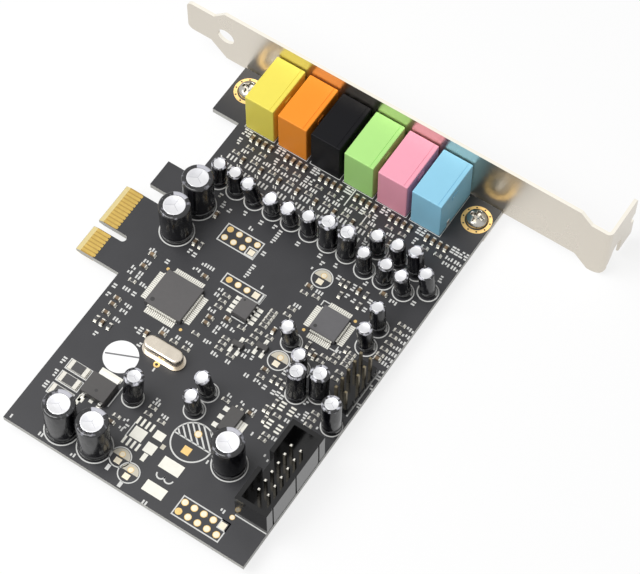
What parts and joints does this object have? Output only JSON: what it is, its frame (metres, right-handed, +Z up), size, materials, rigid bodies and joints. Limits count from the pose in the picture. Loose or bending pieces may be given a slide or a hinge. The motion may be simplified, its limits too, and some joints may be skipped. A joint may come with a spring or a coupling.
{
  "type": "sound card",
  "caption": "Expansion-slot sound card with a short edge connector, a folded steel bracket, colour-coded audio jacks, pin headers and upright capacitors.",
  "frame": {"origin": "the key notch's centre line, on the edge connector's mating edge, at the middle of the board's thickness", "axes": "+X from the edge connector across the board, +Y along the board towards the bracket, +Z up from the component side"},
  "size_m": [0.1184, 0.1208, 0.0221],
  "materials": {
    "board": "satin solder mask",
    "gold": "gold plated",
    "bracket": "bright nickel plate",
    "screw": "nickel plate",
    "tin": "bright tin plate",
    "header_plastic": "moulded",
    "chip_plastic": "moulded",
    "sleeve": "shrunk sleeve",
    "crystal_steel": "bright",
    "label_paper": "paper",
    "resistor": "glazed top",
    "ceramic": "ceramic",
    "yellow_plastic": "moulded",
    "orange_plastic": "moulded",
    "black_plastic": "moulded",
    "green_plastic": "moulded",
    "pink_plastic": "moulded",
    "blue_plastic": "moulded"
  },
  "bodies": {
    "root": {"circuit_board": "board", "edge_contacts": "gold", "mounting_bracket": "bracket", "bracket_screws": "screw", "jack_contacts": "tin", "box_header_shroud": "header_plastic", "box_header_pins": "gold", "pin_header_base": "header_plastic", "pin_header_pins": "gold", "controller_chip": "chip_plastic", "controller_leads": "tin", "codec_chip": "chip_plastic", "codec_leads": "tin", "memory_chip": "chip_plastic", "small_regulator": "chip_plastic", "transistors": "chip_plastic", "small_chip_leads": "tin", "regulator_body": "chip_plastic", "regulator_plate": "tin", "crystal": "crystal_steel", "round_label": "label_paper", "chip_resistors": "resistor", "chip_capacitors": "ceramic", "yellow_jack": "yellow_plastic", "orange_jack": "orange_plastic", "black_jack": "black_plastic", "green_jack": "green_plastic", "pink_jack": "pink_plastic", "blue_jack": "blue_plastic", "small_capacitor_01": "sleeve", "small_capacitor_02": "sleeve", "small_capacitor_03": "sleeve", "small_capacitor_04": "sleeve", "small_capacitor_05": "sleeve", "small_capacitor_06": "sleeve", "small_capacitor_07": "sleeve", "small_capacitor_08": "sleeve", "small_capacitor_09": "sleeve", "small_capacitor_10": "sleeve", "small_capacitor_11": "sleeve", "small_capacitor_12": "sleeve", "small_capacitor_13": "sleeve", "small_capacitor_14": "sleeve", "small_capacitor_15": "sleeve", "small_capacitor_16": "sleeve", "small_capacitor_17": "sleeve", "small_capacitor_18": "sleeve", "small_capacitor_19": "sleeve", "medium_capacitor_01": "sleeve", "medium_capacitor_02": "sleeve", "medium_capacitor_03": "sleeve", "medium_capacitor_04": "sleeve", "medium_capacitor_05": "sleeve", "medium_capacitor_06": "sleeve", "large_capacitor_01": "sleeve", "large_capacitor_02": "sleeve", "large_capacitor_03": "sleeve", "large_capacitor_04": "sleeve", "large_capacitor_05": "sleeve"}
  },
  "joints": []
}
